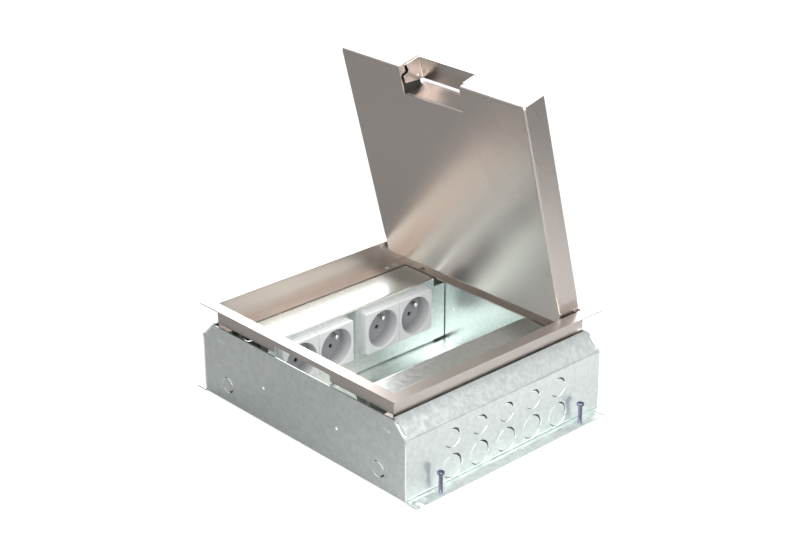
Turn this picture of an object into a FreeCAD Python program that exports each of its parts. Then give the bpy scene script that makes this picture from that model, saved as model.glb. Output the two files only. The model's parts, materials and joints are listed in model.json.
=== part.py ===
import FreeCAD, Part
import math
import os

# Floor socket box with a hinged stainless lid tray, in millimetres.
# The origin is the centre of the base plate's underside, +X runs towards the
# right side wall, +Y towards the hinge and +Z up.

# Base box, galvanised sheet
BASE_WIDTH = 318.4           # bottom plate with its two fixing flanges
BASE_DEPTH = 255.4
BASE_SHEET = 1.5
FLANGE_WIDTH = 13.4          # each fixing flange, outside its side wall
BASE_HEIGHT = 78.4
SLANT_RISE = 15.2            # the side walls lean inwards at 45 degrees over this height
SIDE_LIP = 1.9               # and end this far above the front and rear walls
BEND = 1.0                   # inside radius of a fold in galvanised sheet
PAST = 1.0                   # how far a cut runs past the face that it opens
TINY = 0.01                  # tolerance for finding an edge by its place
WALL_FOOT = 14.0             # side wall's foot, welded to the bottom plate
CORNER_SLIT = 1.8            # relief slit at each end of the slanted sheet
CORNER_SLIT_MARGIN = 2.4

# Knockouts and fixing holes of the base
SIDE_KNOCKOUT_PITCH = 35.0
SIDE_KNOCKOUT_COUNT = 5
UPPER_KNOCKOUT_RADIUS = 10.0
UPPER_KNOCKOUT_HEIGHT = 45.0
LOWER_KNOCKOUT_RADIUS = 12.5
LOWER_KNOCKOUT_HEIGHT = 16.0
END_KNOCKOUT_RADIUS = 8.5
END_KNOCKOUT_EDGE = 36.8      # from the side wall's outer face to the centre
END_KNOCKOUT_HEIGHT = 20.0
KNOCKOUT_SLIT = 1.4           # at its mean, as the disc sits off the punched circle's centre
KNOCKOUT_SHIFT = 0.8
END_KNOCKOUT_ARCS = [(20, 150), (170, 200), (215, 340)]      # degrees, webs between them
UPPER_KNOCKOUT_ARCS = [(-60, 70), (100, 200)]
LOWER_KNOCKOUT_ARCS = [(-55, 60), (75, 180), (200, 285)]
WALL_HOLE_DIAMETER = 3.2
WALL_HOLE_SPACING = 106.0
WALL_HOLE_HEIGHT = 38.5
FLANGE_NOTCH_WIDTH = 6.0
FLANGE_NOTCH_DEPTH = 8.5
FLANGE_NOTCH_END = 8.2       # from the flange's end to the notch's middle

# Levelling screws
SCREW_EDGE = 5.2             # from the flange's outer edge
SCREW_END = 34.7             # from the flange's end
SCREW_DIAMETER = 4.0
SCREW_LENGTH = 20.4
SCREW_HEAD_DIAMETER = 7.0
SCREW_HEAD_HEIGHT = 2.4
SCREW_SOCKET = 3.0           # across flats
SCREW_TIP_LIFT = 0.2         # tip above the underside of the base
SCREW_CHAMFER = 0.4
RUNNING_FIT = 0.05           # radial clearance of a turning pin or screw

# Trim frame, stainless sheet
STEEL = 1.2
STEEL_BEND = 0.6             # inside radius of a tight fold in stainless sheet
FRAME_TOP_ROUND = 1.0
RIM_SIDE = 12.9              # width of the outward flange at the sides
RIM_END = 11.1               # and at the front and rear
FRAME_RISE = 23.3            # rim above the base's upper edge
FRAME_SIDE_GAP = 2.9         # from the side wall's upper edge to the web
FRAME_END_GAP = 2.6          # from the front or rear wall to the web
FRONT_WEB_LIFT = 1.9         # the front web ends this far above the front wall
NOTCH_WIDTH = 80.0           # cable notch in the front web
NOTCH_HEIGHT = 6.7
NOTCH_CORNER = 2.0

# Lid rest ring and what holds it
RING_DROP = 3.2              # ring's upper face below the base's upper edge
RING_SHEET = 1.5
RING_SIDE = 13.1             # width of the ledge at the sides
RING_END = 10.4              # and at the rear; it is open in front
RING_HOLE_DIAMETER = 5.5
RING_HOLE_SPACING = 181.0
RING_HOLE_EDGE = 4.9         # from the rear web
TAB_WIDTH = 14.0
TAB_DROP = 8.5               # the ring's tabs and the web's lugs reach this far below it
RIVET_DIAMETER = 3.0
RIVET_HEAD_DIAMETER = 5.0
RIVET_HEAD = 0.5
RIVET_END = 60.0             # from the front or rear web
RIVET_DROP = 4.2             # below the ring
BRACKET_WIDTH = 28.0
BRACKET_END = 24.8           # from the front or rear web to the bracket's middle
BRACKET_SETBACK = 1.0        # free end behind the ring's inner edge
BRACKET_LEG = 11.0
FRAME_SCREW_PITCH = 12.0
FRAME_SCREW_EDGE = 6.0       # from the ring's inner edge
FRAME_SCREW_DIAMETER = 4.0
FRAME_SCREW_HEAD = 7.0
FRAME_SCREW_LENGTH = 9.0
FRAME_SCREW_SOCKET = 2.5     # across flats
FRAME_SCREW_SOCKET_DEPTH = 1.0

# Socket carriers
CARRIER_SHEET = 1.5
CARRIER_DROP = 0.2           # carrier's top below the ring's upper face
CARRIER_SIDE_GAP = 1.0       # between the ring and the carrier's outer leg
CARRIER_RING_GAP = 2.0       # between the ring and the ends of the carrier's top
SHOULDER_DROP = 10.0         # the face runs from wall to wall this far below the top
CARRIER_FOOT_REACH = 14.5
CARRIER_FOOT_DROP = 10.5     # outer foot below the top
LEFT_CARRIER_WIDTH = 44.5
RIGHT_CARRIER_WIDTH = 50.5
CARRIER_FOOT = 14.0
CARRIER_END_GAP = 1.0
TAB_LENGTH = 10.0
TAB_INSET = 1.0
TAB_CLEARANCE = 0.4
TAB_STANDOUT = 1.2
CARRIER_SCREW_SPACING = 120.0
CARRIER_SCREW_DIAMETER = 4.0
CARRIER_SCREW_HEAD = 7.5
CARRIER_SCREW_HEAD_HEIGHT = 2.4
CARRIER_SCREW_BEVEL = 1.0
CARRIER_SCREW_SLOT = 1.0     # width and depth of the driver slot

# Socket modules
MODULE = 45.0
MODULE_GAP = 0.1
PAIR_INSET = 1.3             # each pair stands this far inside its half's middle
SOCKET_DROP = 28.3           # module's middle below the carrier's top
SUPPORT_THICKNESS = 4.5
MODULE_PLATE = 4.5
MODULE_BODY = 42.0
MODULE_DEPTH = 34.0          # insert and housing behind the support frame's front
MODULE_CLEARANCE = 0.2
MODULE_CORNER = 1.0
MODULE_EDGE = 0.6            # bevel of the front plate's rim
RECESS_EDGE = 0.5
HOUSING_WALL = 5.0           # closed wall behind the bores
HOUSING_EDGE = 0.8
RECESS_DIAMETER = 39.5
RECESS_DEPTH = 17.5
RECESS_FLOOR = 2.0
POLE_ANGLE = 45.0            # the poles stand turned towards the hinge by this much
PIN_PITCH = 19.0
PIN_HOLE_DIAMETER = 5.0
EARTH_PIN_DIAMETER = 4.8
EARTH_PIN_OFFSET = 10.0
EARTH_PIN_SETBACK = 6.0
EARTH_PIN_TIP = 1.2          # bevel of the pin's end
SLEEVE_DIAMETER = 6.2
SLEEVE_LENGTH = 13.0
TERMINAL_DIAMETER = 4.0
TERMINAL_HEIGHT = 1.6
TERMINAL_SLOT = 0.8
BLANK_THICKNESS = 3.0
BLANK_PLUG = 2.0             # how far the plug stands behind the carrier's face
BLANK_WALL = 2.0

# Earth terminal on the bottom plate
EARTH_SETBACK = 30.0         # behind the left carrier's face
EARTH_STUD_DIAMETER = 5.0
EARTH_STUD_LENGTH = 16.0
EARTH_NUT_FLATS = 8.0
EARTH_NUT_HEIGHT = 4.0
EARTH_WASHER_DIAMETER = 10.0
EARTH_WASHER = 1.0

# Lid tray, modelled closed and then swung open to its rest angle
LID_SIDE_GAP = 2.6           # between the lid and the side webs
LID_END_GAP = 2.0            # and the front and rear webs
LID_REST_GAP = 0.5           # above the ring
LID_REST_ANGLE = 75.35
LID_CORNER_RELIEF = 4.0
LID_BEND = 0.8
REAR_FLANGE_DROP = 1.0
REAR_CORNER_GAP = 2.5        # between the rear flange's end and the side flange

# Hinge
HINGE_EDGE = 1.0             # from the lid's rear face
HINGE_DROP = 3.0             # below the rim
HINGE_PIN_DIAMETER = 3.0
EAR_RADIUS = 2.5
EAR_LENGTH = 8.0
HINGE_HEAD_DIAMETER = 4.8
HINGE_HEAD = 1.2
HINGE_SIDE_GAP = 0.3
WASHER_DIAMETER = 4.8
PIN_HEAD_EDGE = 0.4

# Cable outlet in the lid's front edge
OUTLET_WIDTH = 80.8
OUTLET_DEPTH = 28.4
OUTLET_WALL_WIDTH = 75.0
OUTLET_WALL_KNEE = 12.0
OUTLET_WALL_LEAN = 2.0
OUTLET_WALL_GAP = 0.2        # below the flap's sheet
OUTLET_WALL_FOOT = 9.6
OUTLET_KNEE_RADIUS = 8.0
LIP_HEIGHT = 7.5
LIP_LENGTH = 10.0
FLAP_WIDTH = 77.4
FLAP_FRONT = 0.3
FLAP_REAR = 23.6
FLAP_BEND = 1.5
CHEEK_FRONT_HEIGHT = 8.0
CHEEK_STEP_BACK = 9.0        # where the cheek's lower edge turns down
CHEEK_STEP_HEIGHT = 9.5
CHEEK_ROUND = 1.5
CHEEK_BOTTOM = 2.5
CHEEK_BOTTOM_FRONT = 11.0
CHEEK_BOTTOM_REAR = 18.0
PIVOT_BACK = 18.2            # from the lid's front edge
PIVOT_DROP = 6.0             # below the flap's top
FLAP_PIN_DIAMETER = 3.0
FLAP_PIN_HEAD = 5.0
FLAP_PIN_HEAD_HEIGHT = 1.0
FLAP_PIN_STANDOUT = 0.6
FLAP_SIDE_GAP = 0.3
PIVOT_BRACKET_GAP = 3.0      # between the flap's cheek and the pivot bracket
PIVOT_BRACKET_FRONT = 3.0
PIVOT_BRACKET_REAR = 34.0
PIVOT_BRACKET_DROP = 2.0     # below the flap's top
PIVOT_BRACKET_FOOT = 9.0
PIVOT_BRACKET_SLOPE = 2.0    # each end leans in by this much
PIVOT_BRACKET_ROUND = 3.0
LID_RIVET_MARGIN = 3.5       # from the bracket's end
LID_RIVET_DIAMETER = 3.0
LID_RIVET_HEAD_DIAMETER = 5.4
LID_RIVET_HEAD = 0.8
LID_RIVET_EDGE = 0.4

# Worked out from the dimensions above
half_base_x = BASE_WIDTH / 2
half_base_y = BASE_DEPTH / 2
half_body = half_base_x - FLANGE_WIDTH
kink_height = BASE_HEIGHT - SLANT_RISE
inner_wall_y = half_base_y - BASE_SHEET
web_x = half_body - SLANT_RISE - SIDE_LIP - FRAME_SIDE_GAP
web_y = inner_wall_y - FRAME_END_GAP
web_inner_x = web_x - STEEL
web_inner_y = web_y - STEEL
frame_top = BASE_HEIGHT + FRAME_RISE
front_web_bottom = BASE_HEIGHT + FRONT_WEB_LIFT
ring_top = BASE_HEIGHT - RING_DROP
ring_bottom = ring_top - RING_SHEET
ring_x = web_inner_x - RING_SIDE
ring_y = web_inner_y - RING_END
rivet_y = web_inner_y - RIVET_END
rivet_height = ring_bottom - RIVET_DROP
bracket_y = web_inner_y - BRACKET_END
carrier_top = ring_top - CARRIER_DROP
carrier_outer = ring_x - CARRIER_SIDE_GAP
carrier_half_top = ring_y - CARRIER_RING_GAP
carrier_foot = carrier_top - CARRIER_FOOT_DROP
left_face = carrier_outer - LEFT_CARRIER_WIDTH
right_face = carrier_outer - RIGHT_CARRIER_WIDTH
pair_centre = carrier_half_top / 2 - PAIR_INSET
socket_height = carrier_top - SOCKET_DROP
support_front = -left_face + SUPPORT_THICKNESS
socket_face = support_front + MODULE_PLATE
recess_back = socket_face - RECESS_DEPTH
insert_back = recess_back - RECESS_FLOOR
housing_back = support_front - MODULE_DEPTH
bore_end = housing_back + HOUSING_WALL
earth_x = -left_face - EARTH_SETBACK
pole_along = math.cos(math.radians(POLE_ANGLE))
pole_across = math.sin(math.radians(POLE_ANGLE))
lid_x = web_inner_x - LID_SIDE_GAP
lid_front = -web_inner_y + LID_END_GAP
lid_rear = web_inner_y - LID_END_GAP
lid_underside = ring_top + LID_REST_GAP
lid_top = frame_top
lid_flange = lid_top - lid_underside
hinge_y = lid_rear - HINGE_EDGE
hinge_z = lid_top - HINGE_DROP
pivot_y = lid_front + PIVOT_BACK
pivot_z = lid_top - PIVOT_DROP
bracket_top = lid_top - PIVOT_BRACKET_DROP

X_AXIS = FreeCAD.Vector(1, 0, 0)
Y_AXIS = FreeCAD.Vector(0, 1, 0)
Z_AXIS = FreeCAD.Vector(0, 0, 1)


def box(x, y, z):
    """A block from three (low, high) pairs."""
    low = FreeCAD.Vector(x[0], y[0], z[0])
    return Part.makeBox(x[1] - x[0], y[1] - y[0], z[1] - z[0], low)


def rod(diameter, start, length, axis=Z_AXIS):
    return Part.makeCylinder(diameter / 2, length, FreeCAD.Vector(*start), axis)


def rounded_face(points, radii):
    """A flat face from a closed outline whose corners have the given radii."""
    edges = []
    starts = []
    ends = []
    middles = []
    count = len(points)
    for i, corner in enumerate(points):
        before = (points[i - 1] - corner).normalize()
        after = (points[(i + 1) % count] - corner).normalize()
        radius = radii[i]
        if radius <= 0:
            starts.append(corner)
            ends.append(corner)
            middles.append(None)
            continue
        half = before.getAngle(after) / 2
        reach = radius / math.tan(half)
        bisector = (before + after).normalize()
        starts.append(corner + before * reach)
        ends.append(corner + after * reach)
        middles.append(corner + bisector * (radius / math.sin(half) - radius))
    for i in range(count):
        if middles[i] is not None:
            edges.append(Part.Arc(starts[i], middles[i], ends[i]).toShape())
        following = starts[(i + 1) % count]
        if ends[i].distanceToPoint(following) > 1e-6:
            edges.append(Part.LineSegment(ends[i], following).toShape())
    return Part.Face(Part.Wire(edges))


def prism(outline, plane, low, high, radii=None):
    """An outline in the plane "xy", "xz" or "yz", drawn out along the third axis."""
    place = {
        "xy": lambda a, b: FreeCAD.Vector(a, b, low),
        "xz": lambda a, b: FreeCAD.Vector(a, low, b),
        "yz": lambda a, b: FreeCAD.Vector(low, a, b),
    }[plane]
    direction = {"xy": Z_AXIS, "xz": Y_AXIS, "yz": X_AXIS}[plane]
    points = [place(a, b) for a, b in outline]
    face = rounded_face(points, radii or [0] * len(points))
    return face.extrude(direction * (high - low))


def folded_sheet(path, thickness, bend, side):
    """Outline and corner radii of a folded sheet that follows one of its skins.

    side is +1 when the sheet lies left of the path and -1 when right of it.
    """
    skin = [FreeCAD.Vector(a, b, 0) for a, b in path]
    runs = [(skin[i + 1] - skin[i]).normalize() for i in range(len(skin) - 1)]
    normals = [FreeCAD.Vector(-run.y, run.x, 0) * side for run in runs]
    other = [skin[0] + normals[0] * thickness]
    skin_radii = [0]
    other_radii = [0]
    for i in range(1, len(skin) - 1):
        mitre = normals[i - 1] + normals[i]
        other.append(skin[i] + mitre * (thickness / (1 + normals[i - 1].dot(normals[i]))))
        turn = runs[i - 1].cross(runs[i]).z * side
        skin_radii.append(bend if turn < 0 else bend + thickness)
        other_radii.append(bend + thickness if turn < 0 else bend)
    other.append(skin[-1] + normals[-1] * thickness)
    skin_radii.append(0)
    other_radii.append(0)
    outline = [(p.x, p.y) for p in skin + other[::-1]]
    return outline, skin_radii + other_radii[::-1]


def fuse(shapes):
    return shapes[0].multiFuse(shapes[1:]).removeSplitter() if len(shapes) > 1 else shapes[0]


def both_sides(shape):
    """The shape and its mirror image about the centre plane x = 0."""
    return [shape, shape.mirror(FreeCAD.Vector(0, 0, 0), X_AXIS)]


def four_corners(shape):
    ends = [shape, shape.mirror(FreeCAD.Vector(0, 0, 0), Y_AXIS)]
    return [copy for end in ends for copy in both_sides(end)]


def save(name, shapes):
    solids = shapes if isinstance(shapes, list) else [shapes]
    solids = [solid for shape in solids for solid in shape.Solids]
    shape = solids[0] if len(solids) == 1 else Part.makeCompound(solids)
    shape.exportStep("parts/" + name + ".step")
    box_ = shape.BoundBox
    print("%-28s solids %2d  valid %s  x %7.1f %7.1f  y %7.1f %7.1f  z %7.1f %7.1f" % (
        name, len(solids), shape.isValid(), box_.XMin, box_.XMax,
        box_.YMin, box_.YMax, box_.ZMin, box_.ZMax))


def opened(shape):
    """A lid piece, swung from closed to the rest angle."""
    turned = shape.copy()
    turned.rotate(FreeCAD.Vector(0, hinge_y, hinge_z), X_AXIS, -LID_REST_ANGLE)
    return turned


def knockout_slit(radius, centre, axis, depth, arcs, wide_side):
    """The punched slit of a knockout: arcs between the webs that hold the disc.

    arcs lists (start, end) angles in degrees, and wide_side points to where the slit is widest.
    """
    middle = FreeCAD.Vector(*centre)
    disc = rod(2 * (radius - KNOCKOUT_SLIT), middle - wide_side * KNOCKOUT_SHIFT, depth, axis)
    slits = []
    for start, end in arcs:
        sector = Part.makeCylinder(radius, depth, FreeCAD.Vector(0, 0, 0), Z_AXIS, end - start)
        sector.rotate(FreeCAD.Vector(0, 0, 0), Z_AXIS, start)
        sector.Placement = FreeCAD.Placement(middle, FreeCAD.Rotation(Z_AXIS, axis)).multiply(
            sector.Placement)
        slits.append(sector.cut(disc))
    return Part.makeCompound(slits)


def base_tray():
    """Bottom plate with both flanges, and the front and rear walls folded up from it."""
    path = [(-half_base_y, BASE_HEIGHT), (-half_base_y, 0), (half_base_y, 0),
            (half_base_y, BASE_HEIGHT)]
    outline, radii = folded_sheet(path, BASE_SHEET, BEND, 1)
    trough = prism(outline, "yz", -half_body, half_body, radii)
    front = [(-half_body, 0), (half_body, 0), (half_body, kink_height),
             (half_body - SLANT_RISE, BASE_HEIGHT), (-half_body + SLANT_RISE, BASE_HEIGHT),
             (-half_body, kink_height)]
    trough = trough.common(prism(front, "xz", -half_base_y, half_base_y))
    strip = box((half_body, half_base_x), (-half_base_y, half_base_y), (0, BASE_SHEET))
    tray = fuse([trough] + both_sides(strip))
    cuts = wall_cuts()
    cuts += flange_cuts()
    cuts += [carrier_screw_holes(side) for side in (-1, 1)]
    cuts.append(rod(EARTH_STUD_DIAMETER, (earth_x, 0, -PAST), BASE_SHEET + 2 * PAST))
    return tray.cut(Part.makeCompound(cuts))


def wall_cuts():
    """Knockouts, screw holes and tab slots of the front wall, and of the rear one alike."""
    cuts = []
    depth = BASE_SHEET + 2 * PAST
    for side in (-1, 1):
        centre = (side * (half_body - END_KNOCKOUT_EDGE), -half_base_y - PAST,
                  END_KNOCKOUT_HEIGHT)
        cuts.append(knockout_slit(END_KNOCKOUT_RADIUS, centre, Y_AXIS, depth,
                                  END_KNOCKOUT_ARCS, X_AXIS))
        hole = (side * WALL_HOLE_SPACING / 2, -half_base_y - PAST, WALL_HOLE_HEIGHT)
        cuts.append(rod(WALL_HOLE_DIAMETER, hole, depth, Y_AXIS))
        outer = carrier_outer + CARRIER_FOOT_REACH - TAB_INSET + TAB_CLEARANCE
        slot_x = sorted((side * outer, side * (outer - TAB_LENGTH - 2 * TAB_CLEARANCE)))
        slot_z = (carrier_foot - CARRIER_SHEET - TAB_CLEARANCE,
                  carrier_foot + TAB_CLEARANCE)
        cuts.append(box(slot_x, (-half_base_y - PAST, -half_base_y - PAST + depth), slot_z))
    rear = [cut.mirror(FreeCAD.Vector(0, 0, 0), Y_AXIS) for cut in cuts]
    return cuts + rear


def levelling_screw_place():
    """The right front screw hole in the flange."""
    return half_base_x - SCREW_EDGE, -half_base_y + SCREW_END


def flange_cuts():
    """Open fixing notches and the levelling screws' holes."""
    inner = half_base_x - FLANGE_NOTCH_DEPTH + FLANGE_NOTCH_WIDTH / 2
    y = half_base_y - FLANGE_NOTCH_END
    half_notch = FLANGE_NOTCH_WIDTH / 2
    slot = box((inner, half_base_x + PAST), (y - half_notch, y + half_notch),
               (-PAST, BASE_SHEET + PAST))
    end = rod(FLANGE_NOTCH_WIDTH, (inner, y, -PAST), BASE_SHEET + 2 * PAST)
    x, y = levelling_screw_place()
    hole = rod(SCREW_DIAMETER + 2 * RUNNING_FIT, (x, y, -PAST), BASE_SHEET + 2 * PAST)
    cuts = []
    for shape in (slot.fuse(end), hole):
        cuts += four_corners(shape)
    return cuts


def side_wall():
    """The right side wall: foot, upright with ten knockouts, and the leaning top."""
    path = [(half_body - WALL_FOOT, BASE_SHEET), (half_body, BASE_SHEET),
            (half_body, kink_height),
            (half_body - SLANT_RISE - SIDE_LIP, BASE_HEIGHT + SIDE_LIP)]
    outline, radii = folded_sheet(path, BASE_SHEET, BEND, 1)
    wall = prism(outline, "xz", -inner_wall_y, inner_wall_y, radii)
    cuts = []
    for i in range(SIDE_KNOCKOUT_COUNT):
        y = (i - (SIDE_KNOCKOUT_COUNT - 1) / 2) * SIDE_KNOCKOUT_PITCH
        start = half_body - BASE_SHEET - PAST
        depth = BASE_SHEET + 2 * PAST
        cuts.append(knockout_slit(UPPER_KNOCKOUT_RADIUS, (start, y, UPPER_KNOCKOUT_HEIGHT),
                                  X_AXIS, depth, UPPER_KNOCKOUT_ARCS, Y_AXIS))
        cuts.append(knockout_slit(LOWER_KNOCKOUT_RADIUS, (start, y, LOWER_KNOCKOUT_HEIGHT),
                                  X_AXIS, depth, LOWER_KNOCKOUT_ARCS, Y_AXIS))
    slit_z = (kink_height + CORNER_SLIT_MARGIN, BASE_HEIGHT - CORNER_SLIT_MARGIN)
    for side in (-1, 1):
        slit_y = sorted((side * (inner_wall_y - CORNER_SLIT), side * (inner_wall_y + PAST)))
        cuts.append(box((half_body - 2 * SLANT_RISE, half_body + PAST), slit_y, slit_z))
        foot_y = sorted((side * (inner_wall_y - BEND), side * (inner_wall_y + PAST)))
        cuts.append(box((half_body - WALL_FOOT - PAST, half_body + PAST), foot_y,
                        (BASE_SHEET - PAST, BASE_SHEET + BEND)))
    return wall.cut(Part.makeCompound(cuts))


def levelling_screw():
    """A socket head screw standing in the right front hole of the flange."""
    x, y = levelling_screw_place()
    shank = rod(SCREW_DIAMETER, (x, y, SCREW_TIP_LIFT), SCREW_LENGTH)
    shank = shank.makeChamfer(SCREW_CHAMFER, [shank.Edges[2]])
    head_z = SCREW_TIP_LIFT + SCREW_LENGTH
    head = rod(SCREW_HEAD_DIAMETER, (x, y, head_z), SCREW_HEAD_HEIGHT)
    head = head.makeChamfer(SCREW_CHAMFER, [head.Edges[0]])
    socket = hexagon(SCREW_SOCKET, x, y, head_z + SCREW_HEAD_HEIGHT / 2,
                     head_z + SCREW_HEAD_HEIGHT + PAST)
    return fuse([shank, head]).cut(socket)


def hexagon(flats, x, y, low, high):
    radius = flats / math.sqrt(3)
    points = []
    for i in range(6):
        angle = math.radians(60 * i)
        points.append((x + radius * math.cos(angle), y + radius * math.sin(angle)))
    return prism(points, "xy", low, high)


def trim_frame():
    """Outward flange on four upright webs, with the cable notch in front and four lugs below."""
    flange = box((-(web_x + RIM_SIDE), (web_x + RIM_SIDE)), (-(web_y + RIM_END), (web_y + RIM_END)),
                 (frame_top - STEEL, frame_top))
    webs = box((-web_x, web_x), (-web_y, web_y), (ring_bottom, frame_top))
    opening = box((-web_inner_x, web_inner_x), (-web_inner_y, web_inner_y),
                  (ring_bottom - PAST, frame_top + PAST))
    frame = flange.fuse(webs).cut(opening).removeSplitter()
    top_edges = [edge for edge in frame.Edges
                 if abs(edge.CenterOfMass.z - frame_top) < TINY
                 and abs(edge.CenterOfMass.x) < web_x and abs(edge.CenterOfMass.y) < web_y]
    frame = frame.makeFillet(FRAME_TOP_ROUND, top_edges)
    lug = box((web_inner_x, web_x), tab_run(), (ring_bottom - TAB_DROP, ring_bottom))
    frame = fuse([frame] + four_corners(lug))
    front = (-web_y - PAST, -web_inner_y + PAST)
    cuts = [box((-web_inner_x, web_inner_x), front, (ring_bottom - PAST, front_web_bottom))]
    notch_low = front_web_bottom - PAST
    notch_top = front_web_bottom + NOTCH_HEIGHT
    notch = [(-NOTCH_WIDTH / 2, notch_low), (NOTCH_WIDTH / 2, notch_low),
             (NOTCH_WIDTH / 2, notch_top), (-NOTCH_WIDTH / 2, notch_top)]
    cuts.append(prism(notch, "xz", front[0], front[1], [0, 0, NOTCH_CORNER, NOTCH_CORNER]))
    across = 2 * (web_x + PAST)
    cuts.append(rod(HINGE_PIN_DIAMETER, (-web_x - PAST, hinge_y, hinge_z), across, X_AXIS))
    for y in (-rivet_y, rivet_y):
        cuts.append(rod(RIVET_DIAMETER, (-web_x - PAST, y, rivet_height), across, X_AXIS))
    return frame.cut(Part.makeCompound(cuts))


def tab_run():
    """Where the ring's right front tab and the web's lug beside it run along Y."""
    return -rivet_y - TAB_WIDTH / 2, -rivet_y + TAB_WIDTH / 2


def frame_screw_places():
    """The right front pair of frame screws."""
    offsets = (-FRAME_SCREW_PITCH / 2, FRAME_SCREW_PITCH / 2)
    return [(ring_x + FRAME_SCREW_EDGE, -bracket_y + offset) for offset in offsets]


def frame_screw(x, y, socket=True):
    """A countersunk screw, flush with the ring; without its socket it is the hole's shape."""
    cone = Part.makeCone(FRAME_SCREW_DIAMETER / 2, FRAME_SCREW_HEAD / 2, RING_SHEET,
                         FreeCAD.Vector(x, y, ring_bottom))
    shank = rod(FRAME_SCREW_DIAMETER, (x, y, ring_top - FRAME_SCREW_LENGTH), FRAME_SCREW_LENGTH)
    screw = cone.fuse(shank).removeSplitter()
    if socket:
        screw = screw.cut(hexagon(FRAME_SCREW_SOCKET, x, y, ring_top - FRAME_SCREW_SOCKET_DEPTH,
                                  ring_top + PAST))
    return screw


def lid_rest_ring():
    """The ledge that the closed lid lies on, with four tabs riveted to the webs' lugs."""
    outer = box((-web_inner_x, web_inner_x), (-web_inner_y, web_inner_y),
                (ring_bottom, ring_top))
    opening = box((-ring_x, ring_x), (-web_y, ring_y), (ring_bottom - PAST, ring_top + PAST))
    tab = box((web_inner_x - RING_SHEET, web_inner_x), tab_run(),
              (ring_bottom - TAB_DROP, ring_bottom))
    ring = fuse([outer.cut(opening)] + four_corners(tab))
    cuts = []
    for x, y in frame_screw_places():
        cuts += four_corners(frame_screw(x, y, socket=False))
    for x in (-RING_HOLE_SPACING / 2, RING_HOLE_SPACING / 2):
        place = (x, web_inner_y - RING_HOLE_EDGE, ring_bottom - PAST)
        cuts.append(rod(RING_HOLE_DIAMETER, place, RING_SHEET + 2 * PAST))
    for y in (-rivet_y, rivet_y):
        cuts.append(rod(RIVET_DIAMETER, (-web_x, y, rivet_height), 2 * web_x, X_AXIS))
    return ring.cut(Part.makeCompound(cuts))


def ring_rivet():
    """The right front rivet through the ring's tab and the web's lug."""
    inner = web_inner_x - RING_SHEET
    start = inner - RIVET_HEAD
    shank = rod(RIVET_DIAMETER, (inner, -rivet_y, rivet_height), RING_SHEET + STEEL, X_AXIS)
    inner_head = rod(RIVET_HEAD_DIAMETER, (start, -rivet_y, rivet_height), RIVET_HEAD, X_AXIS)
    outer_head = rod(RIVET_HEAD_DIAMETER, (web_x, -rivet_y, rivet_height), RIVET_HEAD, X_AXIS)
    return fuse([inner_head, shank, outer_head])


def frame_bracket():
    """The right front shelf bracket: ring and webs stand on it, its leg is welded to the slant."""
    slant_x = inner_slant_x(ring_bottom)
    drop = BRACKET_LEG / math.sqrt(2)
    path = [(ring_x + BRACKET_SETBACK, ring_bottom), (slant_x, ring_bottom),
            (slant_x + drop, ring_bottom - drop)]
    outline, radii = folded_sheet(path, BASE_SHEET, BEND, -1)
    y = (-bracket_y - BRACKET_WIDTH / 2, -bracket_y + BRACKET_WIDTH / 2)
    bracket = prism(outline, "xz", y[0], y[1], radii)
    holes = [frame_screw(x, place, socket=False) for x, place in frame_screw_places()]
    return bracket.cut(Part.makeCompound(holes))


def inner_slant_x(z):
    """Where the slanted sheet's inner face is at height z."""
    return half_body + kink_height - BASE_SHEET * math.sqrt(2) - z


def carrier_face(side):
    """Distance of a carrier's face from the centre; side is -1 left and +1 right."""
    return left_face if side < 0 else right_face


def carrier_screw_places(side):
    x = side * (carrier_face(side) + CARRIER_FOOT / 2 + BEND)
    return [(x, y) for y in (-CARRIER_SCREW_SPACING / 2, CARRIER_SCREW_SPACING / 2)]


def carrier_screw_holes(side):
    depth = BASE_SHEET + CARRIER_SHEET + 2 * PAST
    return Part.makeCompound([rod(CARRIER_SCREW_DIAMETER, (x, y, -PAST), depth)
                              for x, y in carrier_screw_places(side)])


def carrier_screws(side):
    """Pan head screws that hold a carrier's foot to the bottom plate."""
    top = BASE_SHEET + CARRIER_SHEET
    screws = []
    for x, y in carrier_screw_places(side):
        shank = rod(CARRIER_SCREW_DIAMETER, (x, y, SCREW_TIP_LIFT), top - SCREW_TIP_LIFT)
        head = rod(CARRIER_SCREW_HEAD, (x, y, top), CARRIER_SCREW_HEAD_HEIGHT)
        head = head.makeChamfer(CARRIER_SCREW_BEVEL, [head.Edges[0]])
        crown = top + CARRIER_SCREW_HEAD_HEIGHT
        slot = box((x - CARRIER_SCREW_HEAD, x + CARRIER_SCREW_HEAD),
                   (y - CARRIER_SCREW_SLOT / 2, y + CARRIER_SCREW_SLOT / 2),
                   (crown - CARRIER_SCREW_SLOT, crown + PAST))
        screws.append(fuse([shank, head]).cut(slot))
    return screws


def carrier_windows(face):
    """Openings in the carrier's face for two pairs of modules."""
    half_window = MODULE / 2 + MODULE_BODY / 2 + MODULE_CLEARANCE
    half_height = MODULE_BODY / 2 + MODULE_CLEARANCE
    height = (socket_height - half_height, socket_height + half_height)
    depth = (-face - CARRIER_SHEET - PAST, -face + PAST)
    return [box(depth, (y - half_window, y + half_window), height)
            for y in (-pair_centre, pair_centre)]


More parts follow.
